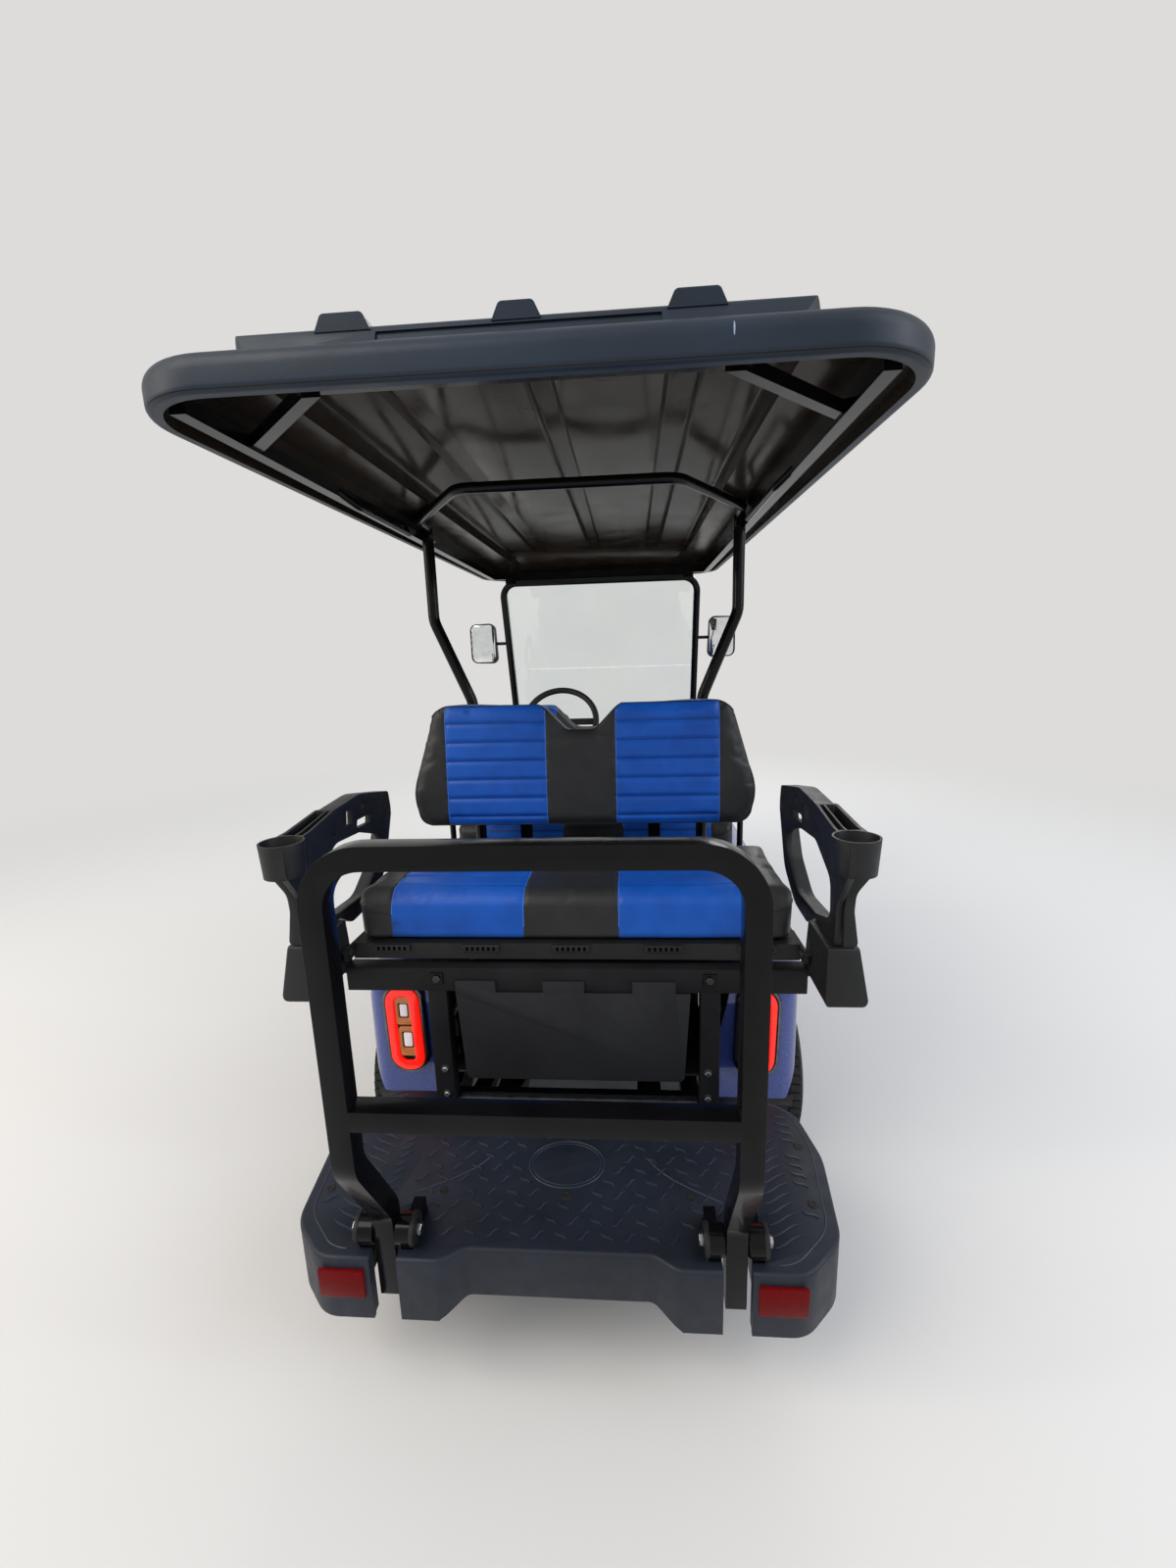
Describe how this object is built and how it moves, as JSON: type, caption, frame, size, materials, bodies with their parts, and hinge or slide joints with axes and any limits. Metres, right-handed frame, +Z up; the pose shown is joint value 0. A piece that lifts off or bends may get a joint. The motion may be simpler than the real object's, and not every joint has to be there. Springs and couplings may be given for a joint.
{
  "type": "golf cart",
  "caption": "Golf cart with bench seats facing front and rear, flip seat with deck, footplate, grab bar, armrests, long roof on struts, windshield and coupled steering.",
  "frame": {"origin": "on the ground in the middle of the cart's length and width", "axes": "X to the right seen from behind, Y forward, Z up"},
  "size_m": [1.34, 3.15, 1.9139],
  "materials": {
    "blue_paint": "glossy metallic",
    "black_steel": "semi-gloss powder coat",
    "black_plastic": "satin, grained",
    "roof_plastic": "fine grained",
    "battery_case": "satin",
    "blue_vinyl": "embossed vinyl, blue with black panels",
    "tyre": "matte",
    "alloy": "machined and black",
    "bare_steel": "satin",
    "screen_glass": "clear",
    "red_lens": "glossy lens",
    "clear_lens": "glossy lens"
  },
  "bodies": {
    "chassis": {"chassis_frame": "black_steel", "floor_pan": "black_plastic", "side_sills": "black_plastic", "bay_liner": "black_plastic", "rear_body": "blue_paint", "taillights": "red_lens", "front_backrest": "blue_vinyl", "seat_back_frame": "black_steel", "rear_seat_frame": "black_steel", "rear_backrest": "blue_vinyl", "storage_bin": "black_plastic", "armrests": "black_plastic", "armrest_bases": "black_plastic", "footplate": "black_plastic", "footplate_frame": "black_steel", "grab_bar": "black_steel", "reflectors": "red_lens", "rear_axle": "bare_steel", "rear_suspension": "bare_steel", "front_suspension": "black_steel", "steering_column": "black_steel", "dashboard": "black_plastic", "front_cowl": "blue_paint", "front_bumper": "black_plastic", "headlamps": "clear_lens", "windshield_frame": "black_steel", "windshield": "screen_glass", "roof_frame": "black_steel", "roof": "roof_plastic", "mirrors": "black_plastic", "pedals": "black_steel", "battery_pack": "battery_case"},
    "rear_seat": {"rear_seat_deck": "black_plastic", "rear_seat_cushion": "blue_vinyl"},
    "front_seat": {"front_seat_cushion": "blue_vinyl"},
    "steering_wheel": {"steering_wheel": "black_plastic"},
    "steering_rack": {"steering_rack": "bare_steel"},
    "knuckle_left": {"knuckle_left": "bare_steel"},
    "knuckle_right": {"knuckle_right": "bare_steel"},
    "wheel_front_left": {"rim_front_left": "alloy", "tyre_front_left": "tyre"},
    "wheel_front_right": {"rim_front_right": "alloy", "tyre_front_right": "tyre"},
    "wheel_rear_left": {"rim_rear_left": "alloy", "tyre_rear_left": "tyre"},
    "wheel_rear_right": {"rim_rear_right": "alloy", "tyre_rear_right": "tyre"}
  },
  "joints": [
    {"name": "spin_rear_left", "type": "hinge", "parent": "chassis", "child": "wheel_rear_left", "pos_m": [-0.5, -0.675, 0.23], "axis": [1, 0, 0], "continuous": true},
    {"name": "spin_rear_right", "type": "hinge", "parent": "chassis", "child": "wheel_rear_right", "pos_m": [0.5, -0.675, 0.23], "axis": [1, 0, 0], "continuous": true},
    {"name": "steer_left", "type": "hinge", "parent": "chassis", "child": "knuckle_left", "pos_m": [-0.37, 0.995, 0.23], "axis": [0, 0, 1], "range_deg": [-30, 30]},
    {"name": "steer_right", "type": "hinge", "parent": "chassis", "child": "knuckle_right", "pos_m": [0.37, 0.995, 0.23], "axis": [0, 0, 1], "range_deg": [-30, 30]},
    {"name": "spin_front_left", "type": "hinge", "parent": "knuckle_left", "child": "wheel_front_left", "pos_m": [-0.45, 0.995, 0.23], "axis": [1, 0, 0], "continuous": true},
    {"name": "spin_front_right", "type": "hinge", "parent": "knuckle_right", "child": "wheel_front_right", "pos_m": [0.45, 0.995, 0.23], "axis": [1, 0, 0], "continuous": true},
    {"name": "rack_travel", "type": "slide", "parent": "chassis", "child": "steering_rack", "axis": [1, 0, 0], "range_m": [-0.055, 0.055]},
    {"name": "steering_wheel_turn", "type": "hinge", "parent": "chassis", "child": "steering_wheel", "pos_m": [-0.18, 0.475, 1.135], "axis": [0, -0.8192, 0.5736], "range_deg": [-361, 361]},
    {"name": "rear_seat_flip", "type": "hinge", "parent": "chassis", "child": "rear_seat", "pos_m": [0, -1.073, 0.757], "axis": [1, 0, 0], "range_deg": [0, 180]},
    {"name": "front_seat_lid", "type": "hinge", "parent": "chassis", "child": "front_seat", "pos_m": [0, 0.285, 0.7], "axis": [-1, 0, 0], "range_deg": [0, 60]}
  ],
  "couplings": [
    {"joint": "steer_right", "follows": "steer_left", "ratio": 1},
    {"joint": "rack_travel", "follows": "steer_left", "m_per_rad": 0.1},
    {"joint": "steering_wheel_turn", "follows": "steer_left", "ratio": 12}
  ]
}
